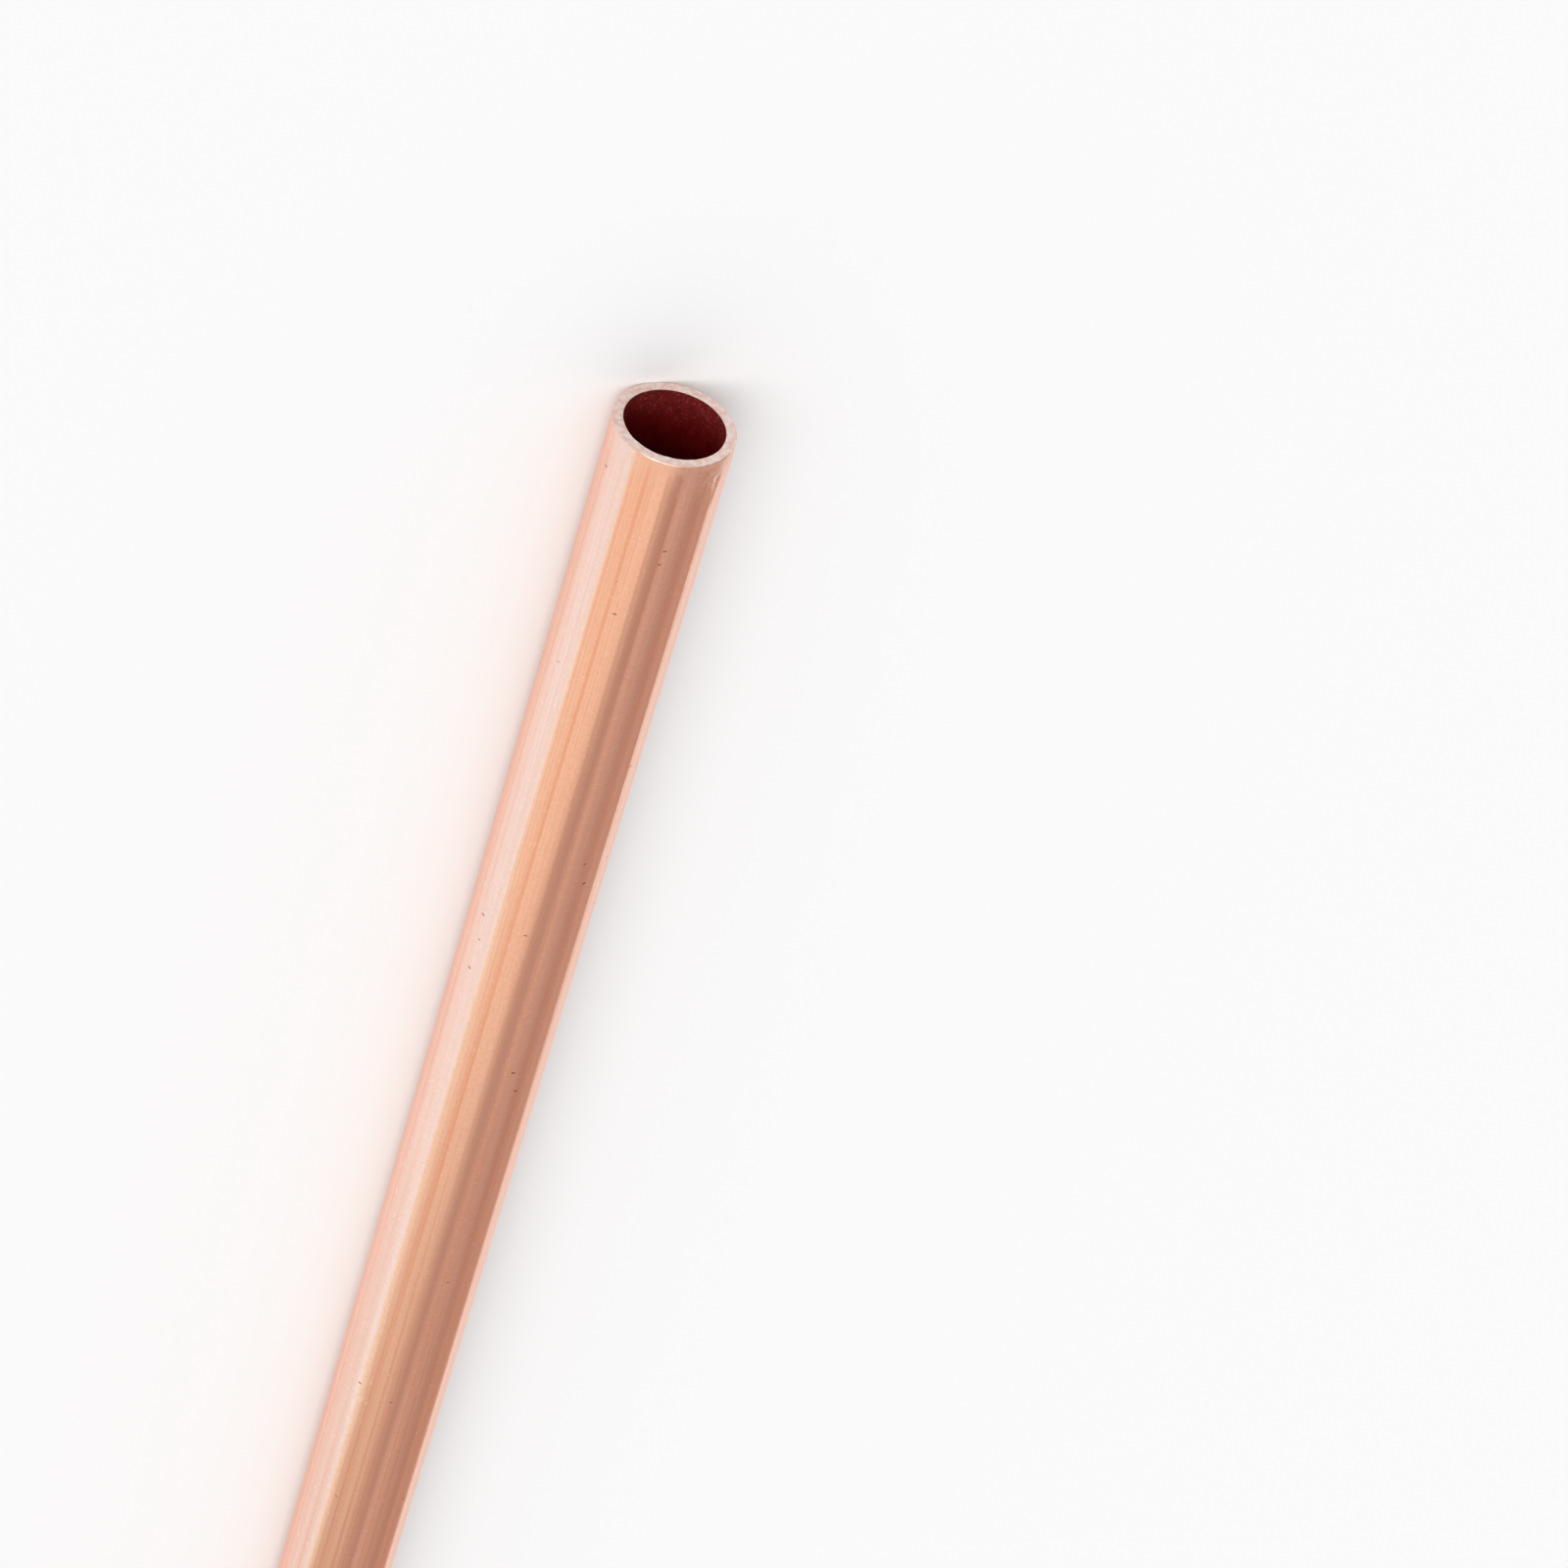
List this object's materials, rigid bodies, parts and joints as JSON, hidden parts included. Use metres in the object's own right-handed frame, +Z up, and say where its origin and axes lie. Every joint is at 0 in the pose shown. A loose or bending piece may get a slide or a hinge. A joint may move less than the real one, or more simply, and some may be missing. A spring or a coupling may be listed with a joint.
{
  "type": "copper pipe length",
  "caption": "Straight length of hard-drawn copper pipe, cut square at both ends, with rolled-in and deburred edges.",
  "frame": {"origin": "on the floor under the middle of the pipe, which lies on its side", "axes": "+X along the pipe's axis, +Y across it, +Z up from the floor"},
  "size_m": [1, 0.012, 0.012],
  "materials": {
    "copper": "bright drawn copper with fine lengthwise draw lines"
  },
  "bodies": {
    "root": {"copper_pipe": "copper"}
  },
  "joints": []
}
